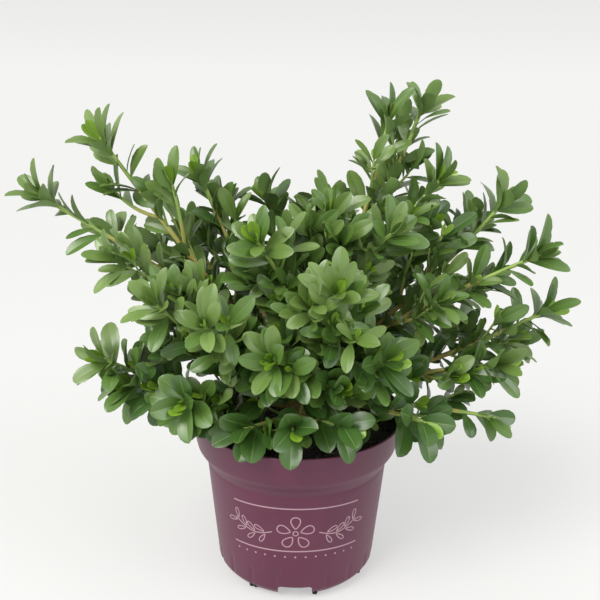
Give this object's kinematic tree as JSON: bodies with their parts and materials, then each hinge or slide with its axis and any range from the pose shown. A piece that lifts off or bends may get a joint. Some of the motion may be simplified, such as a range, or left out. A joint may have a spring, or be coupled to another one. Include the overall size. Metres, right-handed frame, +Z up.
{
  "type": "potted azalea shrub",
  "caption": "Evergreen azalea shrub in a round tapered nursery pot: a short woody stem, boughs that spread up and outwards, and masses of small elliptic leaves.",
  "frame": {"origin": "middle of the pot's flat underside, where the pot stands", "axes": "+Z up, -Y towards the front of the plant, +X to the right as seen from the front"},
  "size_m": [0.4663, 0.3233, 0.4344],
  "materials": {
    "pot_plastic": "satin burgundy moulded polypropylene",
    "peat": "dark, crumbly potting peat",
    "bark": "thin rough brown bark",
    "leaf": "satin green leaves on green and tan twigs"
  },
  "bodies": {
    "root": {"pot": "pot_plastic", "soil": "peat", "main_stem": "bark", "bough_left_tall": "bark", "bough_left_inner": "bark", "bough_left_front": "bark", "bough_left_low": "bark", "bough_front_low": "bark", "bough_front": "bark", "bough_middle": "bark", "bough_right_low": "bark", "bough_right_far": "bark", "bough_right_upper": "bark", "bough_right_tall": "bark", "bough_back_right": "bark", "bough_back_tall": "bark", "bough_back_left": "bark", "bough_back_low": "bark", "foliage_left_tall": "leaf", "foliage_left_far": "leaf", "foliage_left_behind": "leaf", "foliage_left_inner": "leaf", "foliage_left_front": "leaf", "foliage_left_front_inner": "leaf", "foliage_left_low": "leaf", "foliage_left_low_front": "leaf", "foliage_front_low": "leaf", "foliage_front_low_left": "leaf", "foliage_front_low_right": "leaf", "foliage_front": "leaf", "foliage_front_left": "leaf", "foliage_front_right": "leaf", "foliage_front_inner": "leaf", "foliage_front_inner_left": "leaf", "foliage_middle": "leaf", "foliage_middle_left": "leaf", "foliage_middle_right": "leaf", "foliage_right_low": "leaf", "foliage_right_low_front": "leaf", "foliage_right_far": "leaf", "foliage_right_far_low": "leaf", "foliage_right_upper": "leaf", "foliage_right_middle": "leaf", "foliage_right_tall": "leaf", "foliage_right_inner": "leaf", "foliage_right_tall_left": "leaf", "foliage_back_right": "leaf", "foliage_back_right_low": "leaf", "foliage_back_right_rim": "leaf", "foliage_back_tall": "leaf", "foliage_back_middle": "leaf", "foliage_back_inner": "leaf", "foliage_back_left": "leaf", "foliage_back_left_low": "leaf", "foliage_back_low": "leaf"}
  },
  "joints": []
}
